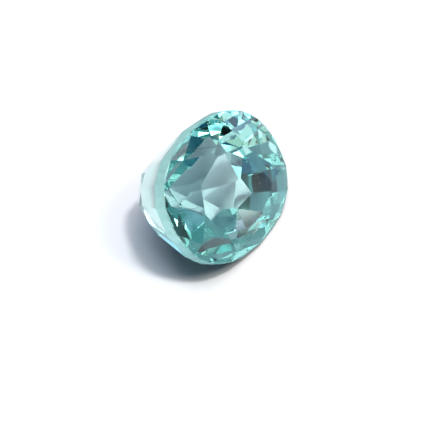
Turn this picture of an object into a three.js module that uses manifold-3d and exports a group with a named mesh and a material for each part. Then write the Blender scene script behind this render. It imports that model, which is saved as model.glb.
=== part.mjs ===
import * as THREE from 'three';
import { mergeVertices } from 'three/addons/utils/BufferGeometryUtils.js';
import Module from 'manifold-3d';

// A cushion-cut spodumene, lying on one facet of its pavilion. Millimetres, +Z up.

// Outline of the girdle, seen along the stone's axis
const girdleLength = 11.64;
const girdleWidth = 10.0;
const cushionPower = 2.28; // 2 would be an ellipse, more is squarer
const girdleSides = 32; // flats that make up the rounded outline
const girdleThickness = 1.2;

// Crown, above the girdle
const mainCount = 8; // mains around the crown, and again around the pavilion
const crownHeight = 0.85;
const tableSlant = -1.8; // degrees, the table isn't quite square to the axis
const tableRatio = 0.586; // table corner to axis, as a share of girdle to axis
const starDepth = 0.513; // how far the star facets reach down the crown, as a share of its height

// Pavilion, below the girdle. Its mains are steep, and flatter facets close it in a blunt point
const culetDepth = 8.08; // from the middle of the girdle to the point of the pavilion
const culetAngle = 39; // of the facets around the point, degrees from the girdle plane
const culetOffset = -0.16; // of the point from the middle of the outline, along its length
const steepDepth = 9.98; // where the steep mains would meet, if nothing closed them off
const steepSpread = 1.133; // where they would cut the girdle plane, as a share of its radius
const lowerHalfDepth = 0.5; // how far the lower girdle facets reach down, as a share of steepDepth

// How the stone lies
const restFacet = 12; // the lower girdle facet that it lies on, counted from the long axis
const restTurn = 30.3; // degrees about the vertical, after it lies down

const blankSize = 40; // the block that each facet cuts away

const wasm = await Module();
wasm.setup();

const radians = THREE.MathUtils.degToRad;
const halfGirdle = girdleThickness / 2;
const tableHeight = halfGirdle + crownHeight;

// The point of the cushion outline that faces a given direction, and its distance along it
function outlineAt(angle) {
  const power = cushionPower / (cushionPower - 1);
  const x = Math.cos(angle) * girdleLength / 2;
  const y = Math.sin(angle) * girdleWidth / 2;
  const reach = (Math.abs(x) ** power + Math.abs(y) ** power) ** (1 / power);
  const part = (v) => Math.sign(v) * (Math.abs(v) / reach) ** (power - 1);
  return {
    point: new THREE.Vector2(part(x) * girdleLength / 2, part(y) * girdleWidth / 2),
    reach,
    direction: new THREE.Vector2(Math.cos(angle), Math.sin(angle)),
  };
}

// A facet through three points, facing away from the middle of the stone
function facetThrough(a, b, c) {
  const plane = new THREE.Plane().setFromCoplanarPoints(a, b, c);
  return plane.constant > 0 ? plane.negate() : plane;
}

function facetFacing(normal, point) {
  return new THREE.Plane().setFromNormalAndCoplanarPoint(normal.clone().normalize(), point);
}

// The point at a given height where two neighbouring facets cross
function crossing(first, second, height) {
  const [a, b] = [first.normal, second.normal];
  const p = -first.constant - a.z * height;
  const q = -second.constant - b.z * height;
  const area = a.x * b.y - a.y * b.x;
  return new THREE.Vector3((p * b.y - q * a.y) / area, (q * a.x - p * b.x) / area, height);
}

const mainAngle = (k) => 2 * Math.PI * k / mainCount;
const atHeight = (point, height) => new THREE.Vector3(point.x, point.y, height);
const mains = Array.from({ length: mainCount }, (_, k) => outlineAt(mainAngle(k)));
const between = Array.from({ length: mainCount }, (_, k) => outlineAt(mainAngle(k + 0.5)));

const tableNormal = new THREE.Vector3(0, Math.sin(radians(tableSlant)), Math.cos(radians(tableSlant)));
const facets = [facetFacing(tableNormal, new THREE.Vector3(0, 0, tableHeight))];

for (let k = 0; k < girdleSides; k += 1) {
  const side = outlineAt(2 * Math.PI * (k + 0.5) / girdleSides);
  const normal = atHeight(side.direction, 0);
  facets.push(facetFacing(normal, normal.clone().multiplyScalar(side.reach)));
}

// Crown mains run from the girdle up to the corners of the table
const crownMains = mains.map(({ point, reach, direction }) => {
  const run = reach - point.dot(direction) * tableRatio;
  return facetFacing(atHeight(direction.clone().multiplyScalar(crownHeight), run), atHeight(point, halfGirdle));
});

// The steep mains of the pavilion, and the flatter facets around its point
const steepPoint = new THREE.Vector3(culetOffset, 0, -steepDepth);
const steepMains = mains.map(({ reach, direction }) => {
  const run = reach * steepSpread - culetOffset * direction.x;
  const normal = atHeight(direction.clone().multiplyScalar(steepDepth - halfGirdle), -run);
  return facetFacing(normal, steepPoint);
});
const culetPoint = new THREE.Vector3(culetOffset, 0, -culetDepth);
const culetFacets = mains.map(({ direction }) => {
  const slope = radians(culetAngle);
  return facetFacing(atHeight(direction.clone().multiplyScalar(Math.sin(slope)), -Math.cos(slope)), culetPoint);
});
facets.push(...crownMains, ...steepMains, ...culetFacets);
const lowerHalves = [];

for (let k = 0; k < mainCount; k += 1) {
  const next = (k + 1) % mainCount;
  const [left, right] = [mains[k].point, mains[next].point];
  const tableLeft = atHeight(left.clone().multiplyScalar(tableRatio), tableHeight);
  const tableRight = atHeight(right.clone().multiplyScalar(tableRatio), tableHeight);
  const starTip = crossing(crownMains[k], crownMains[next], tableHeight - starDepth * crownHeight);
  facets.push(facetThrough(tableLeft, tableRight, starTip));

  const lowerHeight = -halfGirdle - lowerHalfDepth * (steepDepth - halfGirdle);
  const lowerTip = crossing(steepMains[k], steepMains[next], lowerHeight);
  const halfway = between[k].point;
  for (const corner of [left, right]) {
    facets.push(facetThrough(starTip, atHeight(corner, halfGirdle), atHeight(halfway, halfGirdle)));
    lowerHalves.push(facetThrough(lowerTip, atHeight(corner, -halfGirdle), atHeight(halfway, -halfGirdle)));
  }
}
facets.push(...lowerHalves);

function solidFrom(geometry) {
  geometry.deleteAttribute('normal');
  geometry.deleteAttribute('uv');
  const merged = mergeVertices(geometry, 1e-5);
  return new wasm.Manifold(new wasm.Mesh({
    numProp: 3,
    vertProperties: new Float32Array(merged.attributes.position.array),
    triVerts: new Uint32Array(merged.index.array),
  }));
}

// The block that lies outside a facet
function wasteBeyond(facet) {
  const block = new THREE.BoxGeometry(blankSize, blankSize, blankSize);
  block.translate(0, 0, blankSize / 2);
  block.applyQuaternion(new THREE.Quaternion().setFromUnitVectors(new THREE.Vector3(0, 0, 1), facet.normal));
  const foot = facet.normal.clone().multiplyScalar(-facet.constant);
  return solidFrom(block.translate(foot.x, foot.y, foot.z));
}

const rough = solidFrom(new THREE.BoxGeometry(girdleLength + 2, girdleWidth + 2, 2 * culetDepth + 2));
const stone = facets.reduce((solid, facet) => solid.subtract(wasteBeyond(facet)), rough);

const cut = stone.getMesh();
const geometry = new THREE.BufferGeometry();
geometry.setAttribute('position', new THREE.BufferAttribute(cut.vertProperties, cut.numProp));
geometry.setIndex(new THREE.BufferAttribute(cut.triVerts, 1));

const crystal = new THREE.MeshStandardMaterial({
  color: 0xa9d6d3, // pale blue-green
  roughness: 0.03,
  metalness: 0,
  flatShading: true,
});
const gem = new THREE.Mesh(geometry, crystal);
gem.name = 'faceted_spodumene';

// Lay the chosen facet flat on the ground, then turn the stone about the vertical
const restNormal = lowerHalves[restFacet].normal;
gem.quaternion.setFromUnitVectors(restNormal, new THREE.Vector3(0, 0, -1));
gem.quaternion.premultiply(new THREE.Quaternion().setFromAxisAngle(new THREE.Vector3(0, 0, 1), radians(restTurn)));
gem.updateMatrixWorld(true);
const box = new THREE.Box3().setFromObject(gem, true);
const middle = box.getCenter(new THREE.Vector3());
gem.position.set(-middle.x, -middle.y, -box.min.z);

const group = new THREE.Group();
group.add(gem);

export default group;
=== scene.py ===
import math
import random

import bmesh
import bpy
from mathutils import Euler, Matrix, Quaternion, Vector


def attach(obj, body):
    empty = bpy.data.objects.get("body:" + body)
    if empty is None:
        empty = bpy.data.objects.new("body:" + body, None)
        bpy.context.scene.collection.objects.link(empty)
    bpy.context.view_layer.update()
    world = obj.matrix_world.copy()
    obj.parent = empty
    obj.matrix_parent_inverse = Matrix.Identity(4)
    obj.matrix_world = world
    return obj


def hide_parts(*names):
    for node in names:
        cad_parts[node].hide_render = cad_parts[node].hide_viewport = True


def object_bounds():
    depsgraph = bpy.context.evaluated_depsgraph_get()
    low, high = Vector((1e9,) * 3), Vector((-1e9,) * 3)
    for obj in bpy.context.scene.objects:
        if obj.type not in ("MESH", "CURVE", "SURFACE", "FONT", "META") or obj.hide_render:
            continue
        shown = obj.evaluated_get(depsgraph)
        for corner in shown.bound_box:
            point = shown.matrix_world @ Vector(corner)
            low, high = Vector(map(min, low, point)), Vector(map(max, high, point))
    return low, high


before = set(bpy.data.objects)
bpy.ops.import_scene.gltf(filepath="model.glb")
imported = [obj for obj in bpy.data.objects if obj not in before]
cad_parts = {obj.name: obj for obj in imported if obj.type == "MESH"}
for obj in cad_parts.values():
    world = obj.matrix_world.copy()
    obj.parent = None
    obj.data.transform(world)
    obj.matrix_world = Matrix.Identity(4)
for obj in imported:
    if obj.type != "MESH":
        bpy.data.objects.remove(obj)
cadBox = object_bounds()

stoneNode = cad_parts["faceted_spodumene"]
low, high = cadBox
stoneMiddle = (low + high) / 2


# The direction from the stone to something around it, in degrees. Azimuth 0 is behind the
# stone, 90 is to its right and 180 is where the camera stands.
def towards(azimuth, elevation):
    a, e = math.radians(azimuth), math.radians(elevation)
    return Vector((math.sin(a) * math.cos(e), math.cos(a) * math.cos(e), math.sin(e)))


def newMaterial(name):
    material = bpy.data.materials.new(name)
    material.use_nodes = True
    tree = material.node_tree
    tree.nodes.clear()
    output = tree.nodes.new("ShaderNodeOutputMaterial")
    shader = tree.nodes.new("ShaderNodeBsdfPrincipled")
    tree.links.new(shader.outputs["BSDF"], output.inputs["Surface"])
    return material, shader


def addNoise(tree, scale, detail, stretch=(1.0, 1.0, 1.0)):
    place = tree.nodes.new("ShaderNodeTexCoord")
    mapping = tree.nodes.new("ShaderNodeMapping")
    mapping.inputs["Scale"].default_value = stretch
    noise = tree.nodes.new("ShaderNodeTexNoise")
    noise.inputs["Scale"].default_value = scale
    noise.inputs["Detail"].default_value = detail
    tree.links.new(place.outputs["Object"], mapping.inputs["Vector"])
    tree.links.new(mapping.outputs["Vector"], noise.inputs["Vector"])
    return noise.outputs["Fac"]


noiseSpan = (0.35, 0.7)  # most of a noise lies between these


# Spreads a noise over a range of roughness
def addRoughness(tree, noise, span, shader):
    spread = tree.nodes.new("ShaderNodeMapRange")
    spread.inputs["From Min"].default_value = noiseSpan[0]
    spread.inputs["From Max"].default_value = noiseSpan[1]
    spread.inputs["To Min"].default_value = span[0]
    spread.inputs["To Max"].default_value = span[1]
    tree.links.new(noise, spread.inputs["Value"])
    tree.links.new(spread.outputs["Result"], shader.inputs["Roughness"])


def addBump(tree, noise, strength, depth, shader):
    bump = tree.nodes.new("ShaderNodeBump")
    bump.inputs["Strength"].default_value = strength
    bump.inputs["Distance"].default_value = depth
    tree.links.new(noise, bump.inputs["Height"])
    tree.links.new(bump.outputs["Normal"], shader.inputs["Normal"])


# Sets every place against one vector: how far it is from it, or how far it lies along it
def addMeasure(tree, coordinates, operation, vector):
    place = tree.nodes.new("ShaderNodeTexCoord")
    measure = tree.nodes.new("ShaderNodeVectorMath")
    measure.operation = operation
    measure.inputs[1].default_value = vector
    tree.links.new(place.outputs[coordinates], measure.inputs[0])
    return measure.outputs["Value"]


# Goes softly from "first" to "last" while the source goes from "start" to "end"
def addFade(tree, source, start, end, first, last):
    fade = tree.nodes.new("ShaderNodeMapRange")
    fade.interpolation_type = "SMOOTHSTEP"
    fade.inputs["From Min"].default_value = start
    fade.inputs["From Max"].default_value = end
    fade.inputs["To Min"].default_value = first
    fade.inputs["To Max"].default_value = last
    tree.links.new(source, fade.inputs["Value"])
    return fade.outputs["Result"]


crystal = {
    "ior": 1.66,                            # spodumene
    "surface": (0.97, 1.0, 0.995, 1.0),     # what each pass through the surface leaves of light
    "tint": (0.46, 0.87, 0.83, 1.0),        # what is left of white light after a long way through
    "absorption": 105.0,                    # per metre
    "polish": (0.0, 0.012),                 # roughness, from well polished to a little worn
    "wearScale": 900.0,                     # how fine the worn patches are, per metre
    "wearDetail": 4.0,
    "waveScale": 700.0,                     # the facets aren't quite flat: waves, per metre,
    "waveDetail": 0.0,
    "waveStretch": (1.0, 0.3, 1.0),
    "waveDepth": 0.00002,                   # and metres deep
    "edgeWidth": 0.00004,                   # worn facet junctions, metres
    "girdle": {
        "axis": (0.5962, -0.7126, 0.3698),  # from the point of the pavilion to the table
        "middle": 0.00269,                  # metres along the axis
        "thickness": 0.00115,
        "frost": 0.45,                      # added roughness, as the girdle is ground, not polished
    },
}
# How the solid's triangles become whole facets
cleaning = {
    "join": 2e-6,   # corners this near are one, metres
    "flat": 0.4,    # faces this near to one plane are one, degrees
    "short": 4e-6,  # edges under this go, metres
}


# Makes the band around the stone rougher than the wear has made it
def frostGirdle(tree, girdle, shader):
    roughness = shader.inputs["Roughness"]
    band = tree.nodes.new("ShaderNodeMath")
    band.operation = "COMPARE"
    band.inputs[1].default_value = girdle["middle"]
    band.inputs[2].default_value = girdle["thickness"] / 2
    tree.links.new(addMeasure(tree, "Object", "DOT_PRODUCT", girdle["axis"]), band.inputs[0])
    frost = tree.nodes.new("ShaderNodeMath")
    frost.operation = "MULTIPLY_ADD"
    frost.inputs[1].default_value = girdle["frost"]
    tree.links.new(band.outputs["Value"], frost.inputs[0])
    tree.links.new(roughness.links[0].from_socket, frost.inputs[2])
    tree.links.new(frost.outputs["Value"], roughness)


def crystalMaterial(values):
    material, shader = newMaterial("polishedSpodumene")
    tree = material.node_tree
    shader.inputs["Base Color"].default_value = values["surface"]
    shader.inputs["Transmission Weight"].default_value = 1.0
    shader.inputs["IOR"].default_value = values["ior"]
    wear = addNoise(tree, values["wearScale"], values["wearDetail"])
    addRoughness(tree, wear, values["polish"], shader)
    frostGirdle(tree, values["girdle"], shader)
    waves = addNoise(tree, values["waveScale"], values["waveDetail"], values["waveStretch"])
    addBump(tree, waves, 1.0, values["waveDepth"], shader)
    body = tree.nodes.new("ShaderNodeVolumeAbsorption")
    body.inputs["Color"].default_value = values["tint"]
    body.inputs["Density"].default_value = values["absorption"]
    tree.links.new(body.outputs["Volume"], tree.nodes["Material Output"].inputs["Volume"])
    return material


def makeStone(values, cleaning):
    mesh = stoneNode.data.copy()
    mesh.name = "cutStone"
    shape = bmesh.new()
    shape.from_mesh(mesh)
    bmesh.ops.remove_doubles(shape, verts=shape.verts, dist=cleaning["join"])
    bmesh.ops.dissolve_limit(shape, angle_limit=math.radians(cleaning["flat"]),
                             verts=shape.verts, edges=shape.edges)
    bmesh.ops.dissolve_degenerate(shape, dist=cleaning["short"], edges=shape.edges)
    bmesh.ops.bevel(shape, geom=list(shape.edges), offset=values["edgeWidth"], offset_type="OFFSET",
                    segments=1, profile=0.5, affect="EDGES", clamp_overlap=True, material=-1)
    for face in shape.faces:
        face.smooth = False
    shape.to_mesh(mesh)
    shape.free()
    stone = bpy.data.objects.new("cutStone", mesh)
    bpy.context.scene.collection.objects.link(stone)
    mesh.materials.clear()
    mesh.materials.append(crystalMaterial(values))
    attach(stone, "root")
    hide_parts("faceted_spodumene")
    return stone


stone = makeStone(crystal, cleaning)
print("stone made", len(stone.data.polygons), "faces")

photoView = {
    "pixels": 430,         # both ways
    "azimuth": 180.0,      # degrees
    "elevation": 42.7,
    "roll": -24.4,
    "distance": 0.40,      # metres
    "widthSeen": 0.03093,  # metres across the picture, at the aim
    "aim": (-0.000756, -0.00195, 0.003614),
    "sensor": 36.0,        # millimetres
    "nearest": 0.01,       # metres
}


def makeCamera(values):
    data = bpy.data.cameras.new("photoCamera")
    data.sensor_width = values["sensor"]
    data.lens = values["sensor"] * values["distance"] / values["widthSeen"]
    data.clip_start = values["nearest"]
    back = towards(values["azimuth"], values["elevation"])
    camera = bpy.data.objects.new("photoCamera", data)
    camera.location = Vector(values["aim"]) + back * values["distance"]
    camera.rotation_mode = "QUATERNION"
    turn = back.to_track_quat("Z", "Y")
    camera.rotation_quaternion = turn @ Quaternion((0, 0, 1), math.radians(values["roll"]))
    bpy.context.scene.collection.objects.link(camera)
    bpy.context.scene.camera = camera
    return camera


camera = makeCamera(photoView)
bpy.context.view_layer.update()  # stoneAt casts its rays at the finished stone
print("camera made")


# The point of the stone that shows at a place in the photograph, and "depth" metres further in
def stoneAt(x, y, depth):
    step = photoView["widthSeen"] / photoView["pixels"] / photoView["distance"]
    middle = photoView["pixels"] / 2
    ahead = Vector(((x - middle) * step, (middle - y) * step, -1.0)).normalized()
    ahead = camera.rotation_quaternion @ ahead
    point = stone.ray_cast(camera.location, ahead)[1]
    return point + ahead * depth


# Specks inside the stone. Each cluster is around a place in the photograph, in pixels, and
# nearly all of it lies within "spread" of that place.
specks = {
    "seed": 4,
    "size": (0.000015, 0.000045),  # metres, radius
    "depth": (0.0003, 0.0012),     # metres below the surface
    "flatness": 0.4,
    "colour": (0.72, 0.86, 0.86, 1.0),
    "clusters": [
        {"x": 258, "y": 181, "spread": 6.0, "count": 14},
        {"x": 217, "y": 188, "spread": 1.5, "count": 3},
        {"x": 272, "y": 199, "spread": 5.0, "count": 16},
        {"x": 200, "y": 240, "spread": 16.0, "count": 26},
        {"x": 226, "y": 222, "spread": 14.0, "count": 20},
    ],
}
# Painted highlights: fine pale lines along the bright facet edges, from one place in the picture to
# another
paintedEdgeHighlights = {
    "radius": 0.000028,            # metres
    "endRadius": 0.000014,
    "sink": 0.00003,               # metres below the surface
    "sides": 6,
    "colour": (0.88, 0.97, 0.97, 1.0),
    "lines": [
        ((168.0, 213.0), (199.0, 207.5)),
        ((260.0, 222.0), (241.5, 239.0)),
        ((260.0, 225.0), (246.0, 244.0)),
        ((246.0, 244.0), (242.5, 254.0)),
        ((183.0, 151.0), (222.0, 146.0)),
    ],
}
# The finish of both the specks and the painted highlight lines
paleMarkGrain = {"scale": 20000.0, "detail": 2.0, "roughness": (0.5, 0.8), "bump": 0.3, "depth": 0.00001}


# One noise that makes a finish both uneven in roughness and bumpy
def addGrain(tree, values, shader):
    grain = addNoise(tree, values["scale"], values["detail"])
    addRoughness(tree, grain, values["roughness"], shader)
    addBump(tree, grain, values["bump"], values["depth"], shader)


# Builds one piece of pale marks: the specks, or the lines of painted highlight
def addPaleMarks(name, shape, materialName, colour):
    mesh = bpy.data.meshes.new(name)
    shape.to_mesh(mesh)
    shape.free()
    material, shader = newMaterial(materialName)
    shader.inputs["Base Color"].default_value = colour
    addGrain(material.node_tree, paleMarkGrain, shader)
    mesh.materials.append(material)
    paleMarks = bpy.data.objects.new(name, mesh)
    bpy.context.scene.collection.objects.link(paleMarks)
    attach(paleMarks, "root")


def makeSpecks(values):
    rng = random.Random(values["seed"])
    shape = bmesh.new()
    for cluster in values["clusters"]:
        for _ in range(cluster["count"]):
            x = rng.gauss(cluster["x"], cluster["spread"] / 2)
            y = rng.gauss(cluster["y"], cluster["spread"] / 2)
            place = Matrix.Translation(stoneAt(x, y, rng.uniform(*values["depth"])))
            turn = Euler([rng.uniform(0, math.tau) for _ in range(3)]).to_matrix().to_4x4()
            flat = Matrix.Diagonal((1.0, 1.0, values["flatness"], 1.0))
            bmesh.ops.create_icosphere(shape, subdivisions=1, radius=rng.uniform(*values["size"]),
                                       matrix=place @ turn @ flat)
    addPaleMarks("specks", shape, "paleSpecks", values["colour"])


# Painted highlights: pale lines just under the surface along the facet edges
def makePaintedEdgeHighlights(values):
    shape = bmesh.new()
    for start, end in values["lines"]:
        a, b = stoneAt(*start, values["sink"]), stoneAt(*end, values["sink"])
        turn = (b - a).to_track_quat("Z", "Y").to_matrix().to_4x4()
        bmesh.ops.create_cone(shape, cap_ends=True, segments=values["sides"], radius1=values["radius"],
                              radius2=values["endRadius"], depth=(b - a).length,
                              matrix=Matrix.Translation((a + b) / 2) @ turn)
    addPaleMarks("paintedEdgeHighlights", shape, "paintedHighlightLines", values["colour"])


makeSpecks(specks)
# the lines of painted highlight along the facet edges
makePaintedEdgeHighlights(paintedEdgeHighlights)
print("specks and scratches made")

paper = {
    "size": 0.6,  # metres
    "colour": (0.92, 0.93, 0.95, 1.0),
    "grain": {"scale": 2500.0, "detail": 3.0, "roughness": (0.85, 0.95), "bump": 0.1, "depth": 0.00002},
}
# Painted light: the paper under the stone glows, standing in for the light that the stone
# gathers on it. The glow is full up to "inner" metres from its middle and gone at "outer"
glow = {
    "middle": (0.0003, 0.0036, 0.0),
    "inner": 0.0009,
    "outer": 0.004,
    "strength": 0.65,
    "colour": (0.92, 1.0, 1.0, 1.0),
}


# Paints the glow onto the paper as emission
def addGlow(tree, values, shader):
    away = addMeasure(tree, "Object", "DISTANCE", values["middle"])
    light = addFade(tree, away, values["inner"], values["outer"], values["strength"], 0.0)
    tree.links.new(light, shader.inputs["Emission Strength"])
    shader.inputs["Emission Color"].default_value = values["colour"]


def makePaper(values, glow):
    shape = bmesh.new()
    bmesh.ops.create_grid(shape, x_segments=1, y_segments=1, size=values["size"] / 2)
    mesh = bpy.data.meshes.new("paper")
    shape.to_mesh(mesh)
    shape.free()
    sheet = bpy.data.objects.new("paper", mesh)
    bpy.context.scene.collection.objects.link(sheet)
    material, shader = newMaterial("whitePaper")
    shader.inputs["Base Color"].default_value = values["colour"]
    addGrain(material.node_tree, values["grain"], shader)
    addGlow(material.node_tree, glow, shader)
    mesh.materials.append(material)


makePaper(paper, glow)
print("paper made")

# The lamps cast the shadow: first its dark part, then a softer edge, then the faint shadow that
# reaches further out
lamps = [
    {"azimuth": 143, "elevation": 56, "softness": 6, "strength": 1.25, "colour": (1.0, 0.98, 0.95)},
    {"azimuth": 143, "elevation": 61, "softness": 16, "strength": 0.4, "colour": (1.0, 0.98, 0.95)},
    {"azimuth": 141, "elevation": 42, "softness": 12, "strength": 0.9, "colour": (1.0, 0.95, 0.86)},
]
lampDistance = 0.3  # metres
# The room is what the facets mirror: a base tone with soft light and dark areas painted over
# it, in this order. An area is full up to "inner" degrees from its middle and gone at "outer".
room = {
    "base": (0.2, 0.32, 0.36),
    "areas": [
        {"azimuth": 103, "elevation": 81, "inner": 7, "outer": 35, "colour": (1.0, 1.2, 1.35)},
        {"azimuth": -138, "elevation": 43, "inner": 27, "outer": 41, "colour": (0.0, 0.1, 0.2)},
        {"azimuth": 71, "elevation": 37, "inner": 19, "outer": 63, "colour": (0.07, 0.0, 0.0)},
        {"azimuth": 151, "elevation": 81, "inner": 9, "outer": 15, "colour": (2.9, 3.4, 3.8)},
        {"azimuth": 64, "elevation": -4, "inner": 13, "outer": 34, "colour": (1.6, 2.3, 3.0)},
        {"azimuth": -111, "elevation": 66, "inner": 18, "outer": 25, "colour": (0.0, 0.0, 0.0)},
        {"azimuth": 97, "elevation": 59, "inner": 11, "outer": 17, "colour": (1.15, 0.85, 0.8)},
        {"azimuth": -23, "elevation": 69, "inner": 5, "outer": 11, "colour": (2.2, 1.8, 2.3)},
        {"azimuth": 10, "elevation": 0, "inner": 16, "outer": 32, "colour": (0.45, 0.6, 0.75)},
        {"azimuth": -131, "elevation": 53, "inner": 18, "outer": 33, "colour": (0.0, 0.0, 0.0)},
        {"azimuth": 144, "elevation": 68, "inner": 5, "outer": 13, "colour": (3.2, 3.2, 3.4)},
    ],
}


def makeRoom(values):
    world = bpy.data.worlds.new("room")
    bpy.context.scene.world = world
    world.use_nodes = True
    tree = world.node_tree
    painted = None
    for area in values["areas"]:
        middle = towards(area["azimuth"], area["elevation"])
        facing = addMeasure(tree, "Generated", "DOT_PRODUCT", middle)
        inner, outer = math.radians(area["inner"]), math.radians(area["outer"])
        share = addFade(tree, facing, math.cos(outer), math.cos(inner), 0.0, 1.0)
        mix = tree.nodes.new("ShaderNodeMix")
        mix.data_type = "RGBA"
        under, over = mix.inputs[6], mix.inputs[7]  # the two colours, after the numbers and vectors
        under.default_value = (*values["base"], 1.0)
        over.default_value = (*area["colour"], 1.0)
        tree.links.new(share, mix.inputs[0])
        if painted:
            tree.links.new(painted, under)
        painted = mix.outputs[2]
    tree.links.new(painted, tree.nodes["Background"].inputs["Color"])


def makeLamp(values):
    data = bpy.data.lights.new("lamp", "SUN")
    data.angle = math.radians(values["softness"])
    data.energy = values["strength"]
    data.color = values["colour"]
    sun = bpy.data.objects.new("lamp", data)
    direction = towards(values["azimuth"], values["elevation"])
    sun.location = stoneMiddle + direction * lampDistance
    sun.rotation_euler = direction.to_track_quat("Z", "Y").to_euler()
    bpy.context.scene.collection.objects.link(sun)


makeRoom(room)
for lamp in lamps:
    makeLamp(lamp)
print("lights made")

view = bpy.context.scene.view_settings
view.view_transform = "Standard"
view.look = "Medium High Contrast"

bounces = 24  # light goes back and forth many times inside the stone
paths = bpy.context.scene.cycles
paths.max_bounces = bounces
paths.glossy_bounces = bounces
paths.transmission_bounces = bounces
paths.caustics_refractive = False  # the glow on the paper stands in for them
